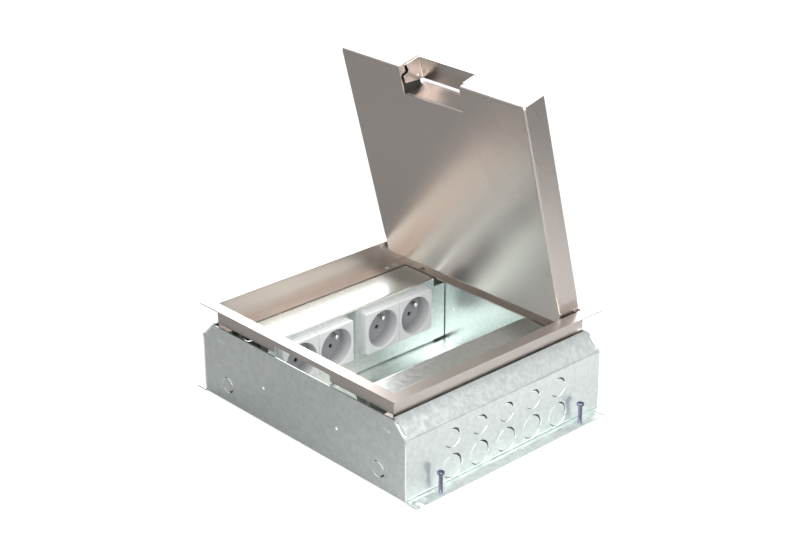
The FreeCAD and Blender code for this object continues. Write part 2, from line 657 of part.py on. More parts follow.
def socket_carrier(side):
    """One folded sheet: outer foot, outer leg, top, face and inner foot.

    It is drawn on the left and mirrored for the right.
    """
    face = carrier_face(side)
    outer = carrier_outer
    path = [(-outer - CARRIER_FOOT_REACH, carrier_foot), (-outer, carrier_foot),
            (-outer, carrier_top), (-face, carrier_top), (-face, BASE_SHEET),
            (-face - CARRIER_FOOT, BASE_SHEET)]
    outline, radii = folded_sheet(path, CARRIER_SHEET, BEND, -1)
    sheet = prism(outline, "xz", -carrier_half_top, carrier_half_top, radii)
    end = inner_wall_y - CARRIER_END_GAP
    foot_x = -outer - CARRIER_FOOT_REACH
    foot_z = (carrier_foot - CARRIER_SHEET, carrier_foot)
    shoulder_z = (BASE_SHEET + BEND + CARRIER_SHEET, carrier_top - SHOULDER_DROP)
    added = []
    for towards in (-1, 1):
        y = sorted((towards * (carrier_half_top - PAST), towards * end))
        added.append(box((-face - CARRIER_SHEET, -face), y, shoulder_z))
        added.append(box((foot_x, -outer - BEND - CARRIER_SHEET), y, foot_z))
        tab_y = sorted((towards * (end - PAST), towards * (half_base_y + TAB_STANDOUT)))
        added.append(box((foot_x + TAB_INSET, foot_x + TAB_INSET + TAB_LENGTH), tab_y, foot_z))
    carrier = fuse([sheet] + added).cut(Part.makeCompound(carrier_windows(face)))
    if side > 0:
        carrier = carrier.mirror(FreeCAD.Vector(0, 0, 0), X_AXIS)
    return carrier.cut(carrier_screw_holes(side))


def module_square(width, centre_y, x, radius=0.0):
    """A square block of a socket module around its centre line."""
    half = width / 2
    outline = [(centre_y - half, socket_height - half), (centre_y + half, socket_height - half),
               (centre_y + half, socket_height + half), (centre_y - half, socket_height + half)]
    return prism(outline, "yz", x[0], x[1], [radius] * 4)


def pair_plate(pair_y, x):
    """A plate as large as two modules side by side."""
    low = socket_height - MODULE / 2
    high = socket_height + MODULE / 2
    outline = [(pair_y - MODULE, low), (pair_y + MODULE, low),
               (pair_y + MODULE, high), (pair_y - MODULE, high)]
    return prism(outline, "yz", x[0], x[1], [MODULE_CORNER] * 4)


def support_frame(pair_y):
    """The moulded frame that two modules snap into."""
    frame = pair_plate(pair_y, (-left_face, support_front))
    windows = [module_square(MODULE_BODY + 2 * MODULE_CLEARANCE, pair_y + side * MODULE / 2,
                             (-left_face - PAST, support_front + PAST)) for side in (-1, 1)]
    return frame.cut(Part.makeCompound(windows))


def pin_bores(y, diameter, x):
    """Bores for the two pins of a plug, between two places along X."""
    bores = []
    for offset in (-PIN_PITCH / 2, PIN_PITCH / 2):
        place = (x[0], y + offset * pole_along, socket_height - offset * pole_across)
        bores.append(rod(diameter, place, x[1] - x[0], X_AXIS))
    return bores


def earth_pin_rod(y, x):
    """The earth pin's plain length, or its bore, between two places along X."""
    place = (x[0], y + EARTH_PIN_OFFSET * pole_across,
             socket_height + EARTH_PIN_OFFSET * pole_along)
    return rod(EARTH_PIN_DIAMETER, place, x[1] - x[0], X_AXIS)


def socket_module(y):
    """Insert of a module: a square plate with the round cup for the plug behind it."""
    plate = module_square(MODULE - MODULE_GAP, y, (support_front, socket_face), MODULE_CORNER)
    rim = [edge for edge in plate.Edges if abs(edge.CenterOfMass.x - socket_face) < TINY]
    plate = plate.makeChamfer(MODULE_EDGE, rim)
    body = module_square(MODULE_BODY, y, (insert_back, support_front))
    module = plate.fuse(body).removeSplitter()
    recess = rod(RECESS_DIAMETER, (recess_back, y, socket_height), RECESS_DEPTH + PAST, X_AXIS)
    module = module.cut(recess)
    mouth = [edge for edge in module.Edges
             if abs(edge.CenterOfMass.x - socket_face) < TINY
             and abs(edge.Length - math.pi * RECESS_DIAMETER) < TINY]
    module = module.makeChamfer(RECESS_EDGE, mouth)
    floor = (insert_back - PAST, recess_back + PAST)
    cuts = pin_bores(y, PIN_HOLE_DIAMETER, floor)
    cuts.append(earth_pin_rod(y, floor))
    return module.cut(Part.makeCompound(cuts))


def module_back(y):
    """Contact housing behind the insert, with bores for the sleeves and the earth pin."""
    housing = module_square(MODULE_BODY, y, (housing_back, insert_back))
    rim = [edge for edge in housing.Edges if abs(edge.CenterOfMass.x - housing_back) < TINY]
    housing = housing.makeChamfer(HOUSING_EDGE, rim)
    depth = (bore_end, insert_back + PAST)
    cuts = pin_bores(y, SLEEVE_DIAMETER, depth)
    cuts.append(earth_pin_rod(y, depth))
    return housing.cut(Part.makeCompound(cuts))


def earth_pin(y):
    end = socket_face - EARTH_PIN_SETBACK
    pin = earth_pin_rod(y, (bore_end, end))
    tip = [edge for edge in pin.Edges if abs(edge.CenterOfMass.x - end) < TINY]
    return pin.makeChamfer(EARTH_PIN_TIP, tip)


def contact_sleeves(y):
    """Brass tubes right behind the insert's two pin holes."""
    length = (insert_back - SLEEVE_LENGTH, insert_back)
    tubes = pin_bores(y, SLEEVE_DIAMETER, length)
    bores = pin_bores(y, PIN_HOLE_DIAMETER, length)
    return [tube.cut(bore) for tube, bore in zip(tubes, bores)]


def terminal_screws(y):
    """Three screw heads on the back of a module's housing."""
    screws = []
    crown = housing_back - TERMINAL_HEIGHT
    z = socket_height - MODULE / 4
    for offset in (-PIN_PITCH / 2, 0, PIN_PITCH / 2):
        head = rod(TERMINAL_DIAMETER, (crown, y + offset, z), TERMINAL_HEIGHT, X_AXIS)
        slot = box((crown - PAST, crown + TERMINAL_SLOT),
                   (y + offset - TERMINAL_DIAMETER, y + offset + TERMINAL_DIAMETER),
                   (z - TERMINAL_SLOT / 2, z + TERMINAL_SLOT / 2))
        screws.append(head.cut(slot))
    return screws


def blanking_plate(pair_y):
    """A plain cover over an unused pair of places in the right carrier."""
    plate = pair_plate(pair_y, (right_face - BLANK_THICKNESS, right_face))
    half_y = MODULE / 2 + MODULE_BODY / 2
    half_z = MODULE_BODY / 2
    end = right_face + CARRIER_SHEET + BLANK_PLUG
    plug = box((right_face, end), (pair_y - half_y, pair_y + half_y),
               (socket_height - half_z, socket_height + half_z))
    hollow = box((right_face, end + PAST),
                 (pair_y - half_y + BLANK_WALL, pair_y + half_y - BLANK_WALL),
                 (socket_height - half_z + BLANK_WALL, socket_height + half_z - BLANK_WALL))
    return fuse([plate, plug.cut(hollow)])


def earth_terminal():
    """Stud through the bottom plate, with its washer and nut."""
    stud = rod(EARTH_STUD_DIAMETER, (earth_x, 0, SCREW_TIP_LIFT), EARTH_STUD_LENGTH)
    washer = rod(EARTH_WASHER_DIAMETER, (earth_x, 0, BASE_SHEET), EARTH_WASHER)
    nut = hexagon(EARTH_NUT_FLATS, earth_x, 0, BASE_SHEET + EARTH_WASHER,
                  BASE_SHEET + EARTH_WASHER + EARTH_NUT_HEIGHT)
    washer = washer.cut(stud)
    nut = nut.cut(stud)
    return stud, washer, nut


def lid_tray():
    """The closed lid: a tray for the floor covering, open at the cable outlet."""
    outer = box((-lid_x, lid_x), (lid_front, lid_rear), (lid_underside, lid_top))
    bottom = [edge for edge in outer.Edges if abs(edge.CenterOfMass.z - lid_underside) < TINY]
    outer = outer.makeFillet(LID_BEND + STEEL, bottom)
    inner = box((-lid_x + STEEL, lid_x - STEEL), (lid_front + STEEL, lid_rear - STEEL),
                (lid_underside + STEEL, lid_top + PAST))
    floor = [edge for edge in inner.Edges
             if abs(edge.CenterOfMass.z - lid_underside - STEEL) < TINY]
    inner = inner.makeFillet(LID_BEND, floor)
    tray = outer.cut(inner)
    cuts = [outlet_opening()]
    cuts += rear_corner_cuts()
    cuts += corner_reliefs()
    tray = tray.cut(Part.makeCompound(cuts))
    tray = fuse([tray] + both_sides(hinge_ear()) + both_sides(outlet_lip()))
    bore = rod(HINGE_PIN_DIAMETER + 2 * RUNNING_FIT, (lid_x - STEEL - PAST, hinge_y, hinge_z),
               STEEL + 2 * PAST, X_AXIS)
    return tray.cut(Part.makeCompound(both_sides(bore)))


def outlet_opening():
    return box((-OUTLET_WIDTH / 2, OUTLET_WIDTH / 2), (lid_front - PAST, lid_front + OUTLET_DEPTH),
               (lid_underside - PAST, lid_top + PAST))


def rear_corner_cuts():
    """The rear flange is lower than the sides, and the side flanges step down at the ears."""
    low = box((-lid_x + STEEL, lid_x - STEEL), (lid_rear - STEEL - PAST, lid_rear + PAST),
              (lid_top - REAR_FLANGE_DROP, lid_top + PAST))
    gap = box((lid_x - STEEL - REAR_CORNER_GAP, lid_x - STEEL),
              (lid_rear - STEEL - PAST, lid_rear + PAST),
              (hinge_z - HINGE_HEAD_DIAMETER, lid_top + PAST))
    step = box((lid_x - STEEL - PAST, lid_x + PAST), (hinge_y - EAR_LENGTH, lid_rear + PAST),
               (hinge_z, lid_top + PAST))
    return [low] + both_sides(gap) + both_sides(step)


def hinge_ear():
    """Rounded end of the right side flange around the hinge pin."""
    boss = rod(2 * EAR_RADIUS, (lid_x - STEEL, hinge_y, hinge_z), STEEL, X_AXIS)
    arm = box((lid_x - STEEL, lid_x), (hinge_y - EAR_LENGTH - PAST, hinge_y),
              (hinge_z - EAR_RADIUS, hinge_z + EAR_RADIUS))
    return boss.fuse(arm)


def corner_reliefs():
    """Triangular reliefs where the folds meet at the front corners."""
    size = LID_CORNER_RELIEF
    outline = [(lid_x - size, lid_front - PAST), (lid_x + PAST, lid_front - PAST),
               (lid_x + PAST, lid_front + size)]
    relief = prism(outline, "xy", lid_underside - PAST, lid_underside + size / 2)
    return both_sides(relief)


def outlet_lip():
    """Small upstand beside the outlet, turned up from the tray's floor."""
    x = OUTLET_WIDTH / 2
    return box((x, x + STEEL), (lid_front + STEEL / 2, lid_front + LIP_LENGTH),
               (lid_underside + STEEL / 2, lid_underside + LIP_HEIGHT))


def pivot_bracket_x():
    """Inner face of the right pivot bracket's upright."""
    return FLAP_WIDTH / 2 + PIVOT_BRACKET_GAP


def lid_rivet_places():
    """Rivets of both pivot brackets and of the outlet wall's foot."""
    x = pivot_bracket_x() + STEEL + PIVOT_BRACKET_FOOT / 2
    places = []
    for side in (-1, 1):
        ends = (PIVOT_BRACKET_FRONT + LID_RIVET_MARGIN, PIVOT_BRACKET_REAR - LID_RIVET_MARGIN)
        for back in ends:
            places.append((side * x, lid_front + back))
        places.append((side * OUTLET_WALL_WIDTH / 3,
                       lid_front + OUTLET_DEPTH + STEEL + (OUTLET_WALL_FOOT - STEEL) / 2))
    return places


def lid_rivets():
    """Studs welded to the tray's floor and riveted over the feet on it."""
    rivets = []
    floor = lid_underside + STEEL
    for x, y in lid_rivet_places():
        shank = rod(LID_RIVET_DIAMETER, (x, y, floor), STEEL)
        head = rod(LID_RIVET_HEAD_DIAMETER, (x, y, floor + STEEL), LID_RIVET_HEAD)
        head = head.makeChamfer(LID_RIVET_EDGE, [head.Edges[0]])
        rivets.append(fuse([shank, head]))
    return rivets


def rivet_holes(low, high):
    return Part.makeCompound([rod(LID_RIVET_DIAMETER, (x, y, low), high - low)
                              for x, y in lid_rivet_places()])


def pivot_bracket():
    """Right upright that carries the flap's pin, with a riveted foot."""
    x = pivot_bracket_x()
    path = [(x + PIVOT_BRACKET_FOOT + STEEL, lid_underside + STEEL), (x, lid_underside + STEEL),
            (x, bracket_top)]
    outline, radii = folded_sheet(path, STEEL, STEEL_BEND, -1)
    y = (lid_front + PIVOT_BRACKET_FRONT, lid_front + PIVOT_BRACKET_REAR)
    bracket = prism(outline, "xz", y[0], y[1], radii)
    profile = [(y[0], lid_underside), (y[1], lid_underside),
               (y[1] - PIVOT_BRACKET_SLOPE, bracket_top),
               (y[0] + PIVOT_BRACKET_SLOPE, bracket_top)]
    keep = prism(profile, "yz", x - PAST, x + PIVOT_BRACKET_FOOT + STEEL + PAST,
                 [0, 0, PIVOT_BRACKET_ROUND, PIVOT_BRACKET_ROUND])
    bracket = bracket.common(keep)
    pin = rod(FLAP_PIN_DIAMETER, (x - PAST, pivot_y, pivot_z), STEEL + 2 * PAST, X_AXIS)
    return bracket.cut(pin).cut(rivet_holes(lid_underside, lid_underside + 3 * STEEL))


def outlet_wall():
    """Curved guide that rises from the outlet's rear edge to just behind the flap."""
    edge = lid_front + OUTLET_DEPTH
    base = lid_underside + STEEL
    path = [(edge + OUTLET_WALL_FOOT, base), (edge, base),
            (edge, lid_underside + OUTLET_WALL_KNEE),
            (edge - OUTLET_WALL_LEAN, lid_top - STEEL - OUTLET_WALL_GAP)]
    outline, radii = folded_sheet(path, STEEL, STEEL_BEND, -1)
    radii[2] = OUTLET_KNEE_RADIUS
    radii[5] = OUTLET_KNEE_RADIUS + STEEL
    half = OUTLET_WALL_WIDTH / 2
    wall = prism(outline, "yz", -half, half, radii)
    return wall.cut(rivet_holes(lid_underside, lid_underside + 3 * STEEL))


def cable_flap():
    """Flap over the outlet: a flat top with a cheek folded down on each side."""
    half = FLAP_WIDTH / 2
    path = [(-half, lid_underside), (-half, lid_top), (half, lid_top), (half, lid_underside)]
    outline, radii = folded_sheet(path, STEEL, FLAP_BEND - STEEL / 2, -1)
    sheet = prism(outline, "xz", lid_front + FLAP_FRONT, lid_front + FLAP_REAR, radii)
    profile = [(FLAP_FRONT, lid_flange + PAST), (FLAP_FRONT, CHEEK_FRONT_HEIGHT),
               (CHEEK_STEP_BACK, CHEEK_STEP_HEIGHT),
               (CHEEK_BOTTOM_FRONT, CHEEK_BOTTOM), (CHEEK_BOTTOM_REAR, CHEEK_BOTTOM),
               (FLAP_REAR, lid_flange - STEEL), (FLAP_REAR, lid_flange + PAST)]
    profile = [(lid_front + back, lid_underside + rise) for back, rise in profile]
    keep = prism(profile, "yz", -half - PAST, half + PAST,
                 [0, 0, CHEEK_ROUND, CHEEK_ROUND, CHEEK_ROUND, 0, 0])
    flap = sheet.common(keep)
    bore = rod(FLAP_PIN_DIAMETER + 2 * RUNNING_FIT, (-half - PAST, pivot_y, pivot_z),
               FLAP_WIDTH + 2 * PAST, X_AXIS)
    return flap.cut(bore)


def flap_pin():
    """Right pivot pin of the flap, riveted into its bracket."""
    head_end = FLAP_WIDTH / 2 - STEEL - FLAP_SIDE_GAP
    start = head_end - FLAP_PIN_HEAD_HEIGHT
    end = pivot_bracket_x() + STEEL + FLAP_PIN_STANDOUT
    head = rod(FLAP_PIN_HEAD, (start, pivot_y, pivot_z), FLAP_PIN_HEAD_HEIGHT, X_AXIS)
    head = head.makeChamfer(PIN_HEAD_EDGE, [head.Edges[2]])
    shank = rod(FLAP_PIN_DIAMETER, (head_end, pivot_y, pivot_z), end - head_end, X_AXIS)
    return fuse([head, shank])


def flap_spacer():
    """Spacer washer between the right cheek and its bracket."""
    start = FLAP_WIDTH / 2 + FLAP_SIDE_GAP
    length = pivot_bracket_x() - start
    tube = rod(FLAP_PIN_HEAD, (start, pivot_y, pivot_z), length, X_AXIS)
    return tube.cut(rod(FLAP_PIN_DIAMETER, (start, pivot_y, pivot_z), length, X_AXIS))


def hinge_pin():
    """Right hinge pin: head inside the lid's flange, shank riveted flush into the web."""
    head_end = lid_x - STEEL - HINGE_SIDE_GAP
    start = head_end - HINGE_HEAD
    head = rod(HINGE_HEAD_DIAMETER, (start, hinge_y, hinge_z), HINGE_HEAD, X_AXIS)
    head = head.makeChamfer(PIN_HEAD_EDGE, [head.Edges[2]])
    shank = rod(HINGE_PIN_DIAMETER, (head_end, hinge_y, hinge_z), web_x - head_end, X_AXIS)
    return fuse([head, shank])


def hinge_washer():
    start = lid_x + HINGE_SIDE_GAP
    length = web_inner_x - start
    tube = rod(WASHER_DIAMETER, (start, hinge_y, hinge_z), length, X_AXIS)
    return tube.cut(rod(HINGE_PIN_DIAMETER, (start, hinge_y, hinge_z), length, X_AXIS))


def build_base():
    save("base_tray", base_tray())
    right, left = both_sides(side_wall())
    save("side_wall_right", right)
    save("side_wall_left", left)
    corners = ("front_right", "front_left", "rear_right", "rear_left")
    for name, screw in zip(corners, four_corners(levelling_screw())):
        save("levelling_screw_" + name, screw)
    stud, washer, nut = earth_terminal()
    save("earth_stud", stud)
    save("earth_washer", washer)
    save("earth_nut", nut)


def build_frame():
    save("trim_frame", trim_frame())
    save("lid_rest_ring", lid_rest_ring())
    save("ring_rivets", four_corners(ring_rivet()))
    screws = []
    for x, y in frame_screw_places():
        screws += four_corners(frame_screw(x, y))
    save("frame_screws", screws)
    corners = ("front_right", "front_left", "rear_right", "rear_left")
    for name, bracket in zip(corners, four_corners(frame_bracket())):
        save("frame_bracket_" + name, bracket)
    for name, pin in zip(("right", "left"), both_sides(hinge_pin())):
        save("hinge_pin_" + name, pin)
    save("hinge_washers", both_sides(hinge_washer()))


def build_sockets():
    save("socket_carrier_left", socket_carrier(-1))
    save("socket_carrier_right", socket_carrier(1))
    save("carrier_screws", carrier_screws(-1) + carrier_screws(1))
    pins = []
    sleeves = []
    screws = []
    number = 1
    for name, pair_y in (("front", -pair_centre), ("rear", pair_centre)):
        save("support_frame_" + name, support_frame(pair_y))
        save("blanking_plate_" + name, blanking_plate(pair_y))
        for side in (-1, 1):
            y = pair_y + side * MODULE / 2
            save("socket_module_%d" % number, socket_module(y))
            save("module_back_%d" % number, module_back(y))
            pins.append(earth_pin(y))
            sleeves += contact_sleeves(y)
            screws += terminal_screws(y)
            number += 1
    save("earth_pins", pins)
    save("contact_sleeves", sleeves)
    save("terminal_screws", screws)


def build_lid():
    save("lid_tray", opened(lid_tray()))
    save("outlet_wall", opened(outlet_wall()))
    for name, bracket in zip(("right", "left"), both_sides(pivot_bracket())):
        save("pivot_bracket_" + name, opened(bracket))
    save("lid_rivets", [opened(rivet) for rivet in lid_rivets()])
    for name, pin in zip(("right", "left"), both_sides(flap_pin())):
        save("flap_pin_" + name, opened(pin))
    save("flap_spacers", [opened(spacer) for spacer in both_sides(flap_spacer())])
    save("cable_flap", opened(cable_flap()))


os.makedirs("parts", exist_ok=True)
build_base()
build_frame()
build_sockets()
build_lid()
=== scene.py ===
import bpy
import json
import math
from mathutils import Matrix, Vector

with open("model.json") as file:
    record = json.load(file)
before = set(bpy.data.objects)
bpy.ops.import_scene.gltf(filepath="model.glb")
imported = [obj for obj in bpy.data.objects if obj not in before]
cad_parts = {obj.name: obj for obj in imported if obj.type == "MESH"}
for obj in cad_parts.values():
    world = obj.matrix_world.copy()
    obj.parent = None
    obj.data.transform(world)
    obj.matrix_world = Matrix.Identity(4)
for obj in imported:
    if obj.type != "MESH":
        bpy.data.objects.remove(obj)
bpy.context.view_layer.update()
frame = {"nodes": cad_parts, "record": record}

nodes = frame["nodes"]
print("frame loaded:", len(nodes), "nodes")

mm = 0.001


# camera at the photograph's viewpoint

cameraView = {
    "place": (1.13506, -1.05448, 0.84448),
    "right": (0.68131, 0.73199, -0.00118),
    "up": (-0.30088, 0.28152, 0.91116),
    "back": (0.66730, -0.62043, 0.41205),
    "lens": 80.26,
    "sensorWidth": 36.0,
    "nearest": 0.05,             # what is nearer or further than these isn't seen
    "furthest": 30,
}


def addCamera():
    data = bpy.data.cameras.new("photoCamera")
    data.sensor_width = cameraView["sensorWidth"]
    data.lens = cameraView["lens"]
    data.clip_start = cameraView["nearest"]
    data.clip_end = cameraView["furthest"]
    camera = bpy.data.objects.new("photoCamera", data)
    bpy.context.scene.collection.objects.link(camera)
    axes = [Vector(cameraView[name]).normalized() for name in ("right", "up", "back")]
    turned = Matrix(axes).transposed().to_4x4()
    camera.matrix_world = Matrix.Translation(cameraView["place"]) @ turned
    bpy.context.scene.camera = camera


addCamera()
print("camera placed")


# shared shader groups

def newGroup(name, inputs, outputs):
    group = bpy.data.node_groups.new(name, "ShaderNodeTree")
    for label, kind, value in inputs:
        socket = group.interface.new_socket(name=label, in_out="INPUT", socket_type=kind)
        socket.default_value = value
    for label, kind in outputs:
        group.interface.new_socket(name=label, in_out="OUTPUT", socket_type=kind)
    return group, group.nodes.new("NodeGroupInput"), group.nodes.new("NodeGroupOutput")


def addNode(tree, kind, settings=None, **inputs):
    node = tree.nodes.new(kind)
    for name, value in (settings or {}).items():
        setattr(node, name, value)
    for name, value in inputs.items():
        node.inputs[name].default_value = value
    return node


def mathNode(tree, operation, first, second):
    node = addNode(tree, "ShaderNodeMath", {"operation": operation})
    for place, value in enumerate((first, second)):
        if isinstance(value, (int, float)):
            node.inputs[place].default_value = value
        else:
            tree.links.new(value, node.inputs[place])
    return node.outputs[0]


def rampNode(tree, source, stops):
    node = tree.nodes.new("ShaderNodeMapRange")
    node.interpolation_type = "SMOOTHSTEP"
    tree.links.new(source, node.inputs["Value"])
    for name, value in zip(("From Min", "From Max", "To Min", "To Max"), stops):
        node.inputs[name].default_value = value
    return node.outputs["Result"]


grainNoise = {
    "fine": {"Detail": 2.0, "Roughness": 0.6},
    "broad": {"Detail": 3.0, "Roughness": 0.55},
    "spread": (0.3, 0.7, 0, 1),  # the noise's middle values fill the whole mask
}


def makeSheetGrain():
    # fine speckle of rolled or dipped sheet: a mask, broad clouds and a bumped normal
    group, inside, outside = newGroup(
        "sheetGrain",
        [("Grain Size", "NodeSocketFloat", 0.0012), ("Depth", "NodeSocketFloat", 0.00002),
         ("Cloud Size", "NodeSocketFloat", 0.05)],
        [("Grain", "NodeSocketFloat"), ("Clouds", "NodeSocketFloat"),
         ("Normal", "NodeSocketVector")])
    place = group.nodes.new("ShaderNodeTexCoord")
    grain = addNode(group, "ShaderNodeTexNoise", **grainNoise["fine"])
    clouds = addNode(group, "ShaderNodeTexNoise", **grainNoise["broad"])
    for noise, size, mask in ((grain, "Grain Size", "Grain"), (clouds, "Cloud Size", "Clouds")):
        scale = mathNode(group, "DIVIDE", 1.0, inside.outputs[size])
        group.links.new(place.outputs["Object"], noise.inputs["Vector"])
        group.links.new(scale, noise.inputs["Scale"])
        group.links.new(rampNode(group, noise.outputs["Fac"], grainNoise["spread"]),
                        outside.inputs[mask])
    bump = addNode(group, "ShaderNodeBump", Strength=1.0)
    group.links.new(grain.outputs["Fac"], bump.inputs["Height"])
    group.links.new(inside.outputs["Depth"], bump.inputs["Distance"])
    group.links.new(bump.outputs["Normal"], outside.inputs["Normal"])
    return group


sheetGrain = makeSheetGrain()


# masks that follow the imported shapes

def span(name, axis):
    places = [corner[axis] for corner in nodes[name].bound_box]
    return min(places), max(places)


sheet = {
    "thickness": 1.5 * mm,
    "skin": 0.05 * mm,           # a cut face starts this far inside the sheet
    "wallX": span("side_wall_right", 0)[1],
    "wallY": span("base_tray", 1)[1],
    "top": span("base_tray", 2)[1],
    "slantRise": 15.2 * mm,
    "fold": 3.0 * mm,            # a fold's round ends within this
}

sockets = {
    "face": span("socket_module_1", 0)[1],
    "recessDepth": 17.5 * mm,
    "seam": span("support_frame_front", 0)[1],
    "pairCentre": sum(span("support_frame_rear", 1)) / 2,
    "seamWidth": 0.3 * mm,
}


def near(tree, source, centre, reach):
    node = addNode(tree, "ShaderNodeMath", {"operation": "COMPARE"})
    tree.links.new(source, node.inputs[0])
    node.inputs[1].default_value = centre
    node.inputs[2].default_value = reach
    return node.outputs[0]


def splitPlace(tree):
    place = tree.nodes.new("ShaderNodeTexCoord")
    parts = tree.nodes.new("ShaderNodeSeparateXYZ")
    tree.links.new(place.outputs["Object"], parts.inputs[0])
    return parts.outputs


def both(tree, first, second):
    return mathNode(tree, "MULTIPLY", first, second)


def within(tree, source, low, high):
    return near(tree, source, (low + high) / 2, (high - low) / 2)


def makeEdgeLightAndShade():
    # painted highlight on the cut faces of the slits in the box's walls and of the carriers' tabs
    # inside them, which turns them near-white and not metallic, and painted shade on the upper
    # edges of the front and rear walls
    group, _, outside = newGroup(
        "edgeLightAndShade", [], [("Cut Highlight", "NodeSocketFloat"), ("Rim Shade", "NodeSocketFloat")])
    x, y, z = splitPlace(group)
    sideX = mathNode(group, "ABSOLUTE", x, 0)
    endY = mathNode(group, "ABSOLUTE", y, 0)
    skin = sheet["skin"]
    fold = sheet["fold"]
    wallX = sheet["wallX"]
    wallY = sheet["wallY"]
    top = sheet["top"]
    inner = sheet["thickness"] - skin
    kink = top - sheet["slantRise"]
    upright = both(group, within(group, sideX, wallX - inner, wallX - skin),
                   within(group, z, fold, kink - fold))
    slope = math.sqrt(2)         # x + z grows by this across a sheet that leans by 45 degrees
    leaning = both(group, within(group, mathNode(group, "ADD", sideX, z),
                                 wallX + kink - inner * slope, wallX + kink - skin * slope),
                   within(group, z, kink + fold / 2, top - fold / 2))
    end = both(group, within(group, endY, wallY - inner, wallY - skin),
               within(group, z, fold, top - fold))
    end = both(group, end, mathNode(group, "LESS_THAN", sideX, wallX - fold))
    walls = mathNode(group, "MAXIMUM", upright, mathNode(group, "MAXIMUM", leaning, end))
    group.links.new(walls, outside.inputs["Cut Highlight"])
    rim = both(group, mathNode(group, "GREATER_THAN", z, top - skin),
               mathNode(group, "GREATER_THAN", endY, wallY - sheet["thickness"]))
    group.links.new(rim, outside.inputs["Rim Shade"])
    return group


def makeSocketShadeAndJoints():
    # painted shade that darkens towards the bottom of the plug recesses, and the fine dark joints
    # between plates and frame
    group, _, outside = newGroup(
        "socketShadeAndJoints", [], [("Depth", "NodeSocketFloat"), ("Joint", "NodeSocketFloat")])
    x, y, _ = splitPlace(group)
    left = mathNode(group, "LESS_THAN", x, 0)
    face = sockets["face"]
    depth = rampNode(group, x, (face, face - sockets["recessDepth"], 0, 1))
    group.links.new(both(group, left, depth), outside.inputs["Depth"])
    width = sockets["seamWidth"] / 2
    frameJoint = near(group, x, sockets["seam"], width)
    plateJoint = near(group, mathNode(group, "ABSOLUTE", y, 0), sockets["pairCentre"], width)
    joints = mathNode(group, "MAXIMUM", frameJoint, plateJoint)
    group.links.new(both(group, left, joints), outside.inputs["Joint"])
    return group


edgeLightAndShade = makeEdgeLightAndShade()
socketShadeAndJoints = makeSocketShadeAndJoints()


# finishes

finishes = {
    "stainless": {"low": (0.58, 0.53, 0.498), "high": (0.605, 0.553, 0.519), "metallic": 1.0,
                  "roughness": (0.26, 0.28), "grain": 0.0011, "depth": 0.000002, "clouds": 0.3},
    "frameSteel": {"low": (0.59, 0.54, 0.506), "high": (0.67, 0.613, 0.574), "metallic": 1.0,
                   "roughness": (0.34, 0.40), "grain": 0.0011, "depth": 0.000004, "clouds": 0.12},
    # painted shade: a nearly black steel for the pivot brackets, which sit where there is only
    # shade
    "paintedShadeSteel": {"low": (0.07, 0.065, 0.06), "high": (0.10, 0.095, 0.09), "metallic": 1.0,
                  "roughness": (0.45, 0.55), "grain": 0.0011, "depth": 0.00001, "clouds": 0.02},
    "galvanised": {"low": (0.75, 0.807, 0.788), "high": (0.89, 0.945, 0.925), "metallic": 1.0,
                   "roughness": (0.28, 0.36), "grain": 0.0013, "depth": 0.00002, "clouds": 0.005},
    "zincPlated": {"low": (0.15, 0.15, 0.21), "high": (0.25, 0.25, 0.34), "metallic": 1.0,
                   "roughness": (0.22, 0.34), "grain": 0.0008, "depth": 0.00001, "clouds": 0.004},
    "whitePlastic": {"low": (0.66, 0.665, 0.67), "high": (0.70, 0.705, 0.71), "metallic": 0.0,
                     "roughness": (0.34, 0.42), "grain": 0.0008, "depth": 0.000004,
                     "clouds": 0.02},
    "greyPlastic": {"low": (0.33, 0.34, 0.35), "high": (0.38, 0.39, 0.40), "metallic": 0.0,
                    "roughness": (0.45, 0.55), "grain": 0.0008, "depth": 0.00001, "clouds": 0.01},
    "brass": {"low": (0.62, 0.46, 0.2), "high": (0.72, 0.55, 0.26), "metallic": 1.0,
              "roughness": (0.25, 0.35), "grain": 0.0008, "depth": 0.000008, "clouds": 0.004},
    "darkBrass": {"low": (0.10, 0.085, 0.06), "high": (0.15, 0.13, 0.09), "metallic": 1.0,
                  "roughness": (0.5, 0.6), "grain": 0.0008, "depth": 0.000008, "clouds": 0.004},
    "nickel": {"low": (0.76, 0.76, 0.75), "high": (0.84, 0.84, 0.83), "metallic": 1.0,
               "roughness": (0.36, 0.44), "grain": 0.0008, "depth": 0.000005, "clouds": 0.004},
}

# painted highlight: the near-white, non-metallic colour of the slits' cut faces
cutHighlightColour = (0.92, 0.94, 0.93)
# painted shade on the upper edges of the front and rear walls
rimShadeColour = (0.30, 0.31, 0.30)
# painted shade inside the plug recesses
recessShadeColour = (0.34, 0.345, 0.36)
jointColour = (0.3, 0.3, 0.31)
grainShare = 0.4                 # of the change from low to high colour, and clouds make the rest


def tinted(tree, base, colour, mask):
    mix = addNode(tree, "ShaderNodeMix", {"data_type": "RGBA"})
    tree.links.new(mask, mix.inputs["Factor"])
    tree.links.new(base, mix.inputs["A"])
    mix.inputs["B"].default_value = (*colour, 1)
    return mix.outputs["Result"]


def addEdgeLightAndShade(tree, shader, base):
    edges = tree.nodes.new("ShaderNodeGroup")
    edges.node_tree = edgeLightAndShade
    # the cut faces get a painted highlight and lose their metal, and the walls' upper edges get
    # painted shade
    cut = edges.outputs["Cut Highlight"]
    tree.links.new(mathNode(tree, "SUBTRACT", 1.0, cut), shader.inputs["Metallic"])
    base = tinted(tree, base, rimShadeColour, edges.outputs["Rim Shade"])
    return tinted(tree, base, cutHighlightColour, cut)


def addSocketShadeAndJoints(tree, base):
    shade = tree.nodes.new("ShaderNodeGroup")
    shade.node_tree = socketShadeAndJoints
    # painted shade deepening inside the plug recesses, then the dark joints
    base = tinted(tree, base, recessShadeColour, shade.outputs["Depth"])
    return tinted(tree, base, jointColour, shade.outputs["Joint"])


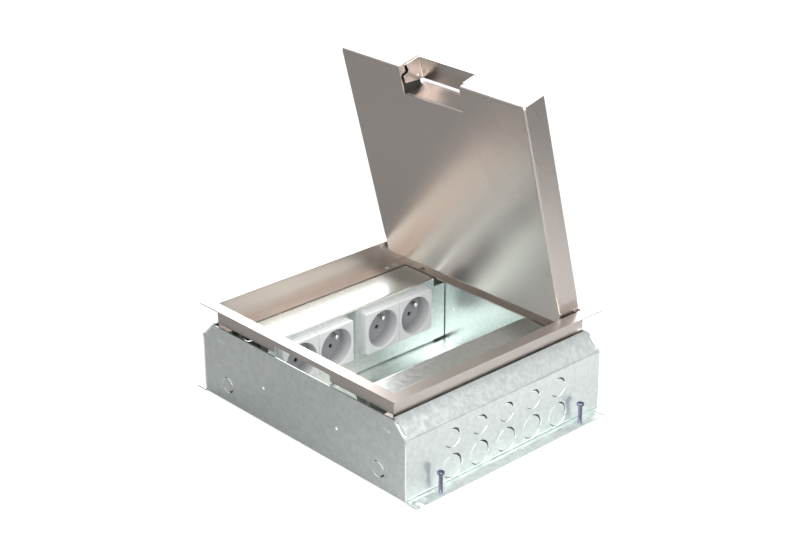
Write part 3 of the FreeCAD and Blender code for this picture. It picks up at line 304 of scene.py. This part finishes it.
def makeFinish(name):
    values = finishes[name]
    material = bpy.data.materials.new(name)
    material.use_nodes = True
    tree = material.node_tree
    shader = tree.nodes["Principled BSDF"]
    shader.inputs["Metallic"].default_value = values["metallic"]
    grain = tree.nodes.new("ShaderNodeGroup")
    grain.node_tree = sheetGrain
    grain.inputs["Grain Size"].default_value = values["grain"]
    grain.inputs["Depth"].default_value = values["depth"]
    grain.inputs["Cloud Size"].default_value = values["clouds"]
    colour = addNode(tree, "ShaderNodeMix", {"data_type": "RGBA"})
    colour.inputs["A"].default_value = (*values["low"], 1)
    colour.inputs["B"].default_value = (*values["high"], 1)
    fine = mathNode(tree, "MULTIPLY", grain.outputs["Grain"], grainShare)
    broad = mathNode(tree, "MULTIPLY", grain.outputs["Clouds"], 1 - grainShare)
    tree.links.new(mathNode(tree, "ADD", fine, broad), colour.inputs["Factor"])
    base = colour.outputs["Result"]
    if name == "whitePlastic":
        base = addSocketShadeAndJoints(tree, base)
    if name == "galvanised":
        base = addEdgeLightAndShade(tree, shader, base)
    tree.links.new(base, shader.inputs["Base Color"])
    rough = addNode(tree, "ShaderNodeMapRange")
    tree.links.new(grain.outputs["Clouds"], rough.inputs["Value"])
    rough.inputs["To Min"].default_value = values["roughness"][0]
    rough.inputs["To Max"].default_value = values["roughness"][1]
    tree.links.new(rough.outputs["Result"], shader.inputs["Roughness"])
    tree.links.new(grain.outputs["Normal"], shader.inputs["Normal"])
    return material


materials = {name: makeFinish(name) for name in finishes}

slotFinish = {
    "galvanised_steel": "galvanised",
    "stainless_steel": "stainless",
    "zinc_steel": "zincPlated",
    "white_plastic": "whitePlastic",
    "grey_plastic": "greyPlastic",
    "brass": "brass",
    "nickelled_brass": "nickel",
}

# nodes whose piece of the slot's metal is rougher, darker or brighter than the rest; the pivot
# brackets' near-black is painted shade
nodeFinish = {
    "trim_frame": "frameSteel",
    "lid_rest_ring": "frameSteel",
    "pivot_bracket_right": "paintedShadeSteel",
    "pivot_bracket_left": "paintedShadeSteel",
    "frame_screws": "nickel",
    "contact_sleeves": "darkBrass",
}


def dressNodes():
    slots = {part["node"]: part["material_slot"] for part in frame["record"]["subparts"]}
    for name, node in nodes.items():
        finish = nodeFinish.get(name, slotFinish[slots[name]])
        node.data.materials.clear()
        node.data.materials.append(materials[finish])


dressNodes()
print("finishes given to", len(nodes), "nodes")


# floor, white background and lamps

studio = {
    "floorSize": 12.0,
    "floorDrop": 0.4 * mm,
    "floorGlow": 0.75,           # added for the camera, so that the pale floor reads as white
    "floorGloss": 0.03,          # added for glossy and transmitted rays
    "floorWhite": 0.23,
    "glossWorld": 0.54,          # the world's strength for glossy and transmitted rays
    "ambient": 0.5,              # and for all rays but those and the camera's
    "softboxes": {
        # name: place, aimed at, width, height, radiance, spread in degrees
        "backSoftbox": ((-1.5, 1.5, 1.1), (0, 0, 0.1), 2.6, 1.8, 3.6, 180),
        "topSoftbox": ((0.2, -0.2, 2.2), (0, 0, 0.1), 1.8, 1.8, 3.0, 180),
        "sideSoftbox": ((0.42, 0.10, 0.50), (0.40, 0.10, 0), 0.85, 0.5, 3.0, 70),
        "frontSoftbox": ((1.6, -1.1, 0.95), (0, 0, 0.1), 1.8, 1.5, 4.6, 180),
    },
}


def seenDirectly(tree, cameraShare, glossShare):
    # rays from the camera, and those from glossy metal or through glass, see the background
    path = tree.nodes.new("ShaderNodeLightPath")
    gloss = mathNode(tree, "MAXIMUM", path.outputs["Is Glossy Ray"],
                     path.outputs["Is Transmission Ray"])
    return mathNode(tree, "ADD",
                    mathNode(tree, "MULTIPLY", path.outputs["Is Camera Ray"], cameraShare),
                    mathNode(tree, "MULTIPLY", gloss, glossShare))


def makeWorld():
    world = bpy.data.worlds.new("whiteStudio")
    bpy.context.scene.world = world
    world.use_nodes = True
    tree = world.node_tree
    background = tree.nodes["Background"]
    background.inputs["Color"].default_value = (1, 1, 1, 1)
    ambient = studio["ambient"]
    seen = seenDirectly(tree, 1.0 - ambient, studio["glossWorld"] - ambient)
    tree.links.new(mathNode(tree, "ADD", seen, ambient), background.inputs["Strength"])


def makeFloor():
    bpy.ops.mesh.primitive_plane_add(size=studio["floorSize"],
                                     location=(0, 0, -studio["floorDrop"]))
    floor = bpy.context.active_object
    floor.name = "floor"
    material = bpy.data.materials.new("paleFloor")
    material.use_nodes = True
    tree = material.node_tree
    tree.nodes.remove(tree.nodes["Principled BSDF"])
    white = studio["floorWhite"]
    matt = addNode(tree, "ShaderNodeBsdfDiffuse", Color=(white, white, white, 1))
    glow = addNode(tree, "ShaderNodeEmission", Color=(1, 1, 1, 1))
    tree.links.new(seenDirectly(tree, studio["floorGlow"], studio["floorGloss"]),
                   glow.inputs["Strength"])
    surface = tree.nodes.new("ShaderNodeAddShader")
    tree.links.new(matt.outputs[0], surface.inputs[0])
    tree.links.new(glow.outputs[0], surface.inputs[1])
    tree.links.new(surface.outputs[0], tree.nodes["Material Output"].inputs["Surface"])
    floor.data.materials.append(material)


def addSoftbox(name, place, target, width, height, radiance, spread):
    data = bpy.data.lights.new(name, "AREA")
    data.shape = "RECTANGLE"
    data.size = width
    data.size_y = height
    data.energy = radiance * math.pi * width * height        # watts for that radiance
    data.spread = math.radians(spread)
    lamp = bpy.data.objects.new(name, data)
    bpy.context.scene.collection.objects.link(lamp)
    lamp.location = place
    lamp.rotation_euler = (Vector(place) - Vector(target)).to_track_quat("Z", "Y").to_euler()
    lamp.visible_camera = False


bpy.context.scene.view_settings.view_transform = "Standard"
makeWorld()
makeFloor()
for name, values in studio["softboxes"].items():
    addSoftbox(name, *values)
print("studio ready")


print("scene built")
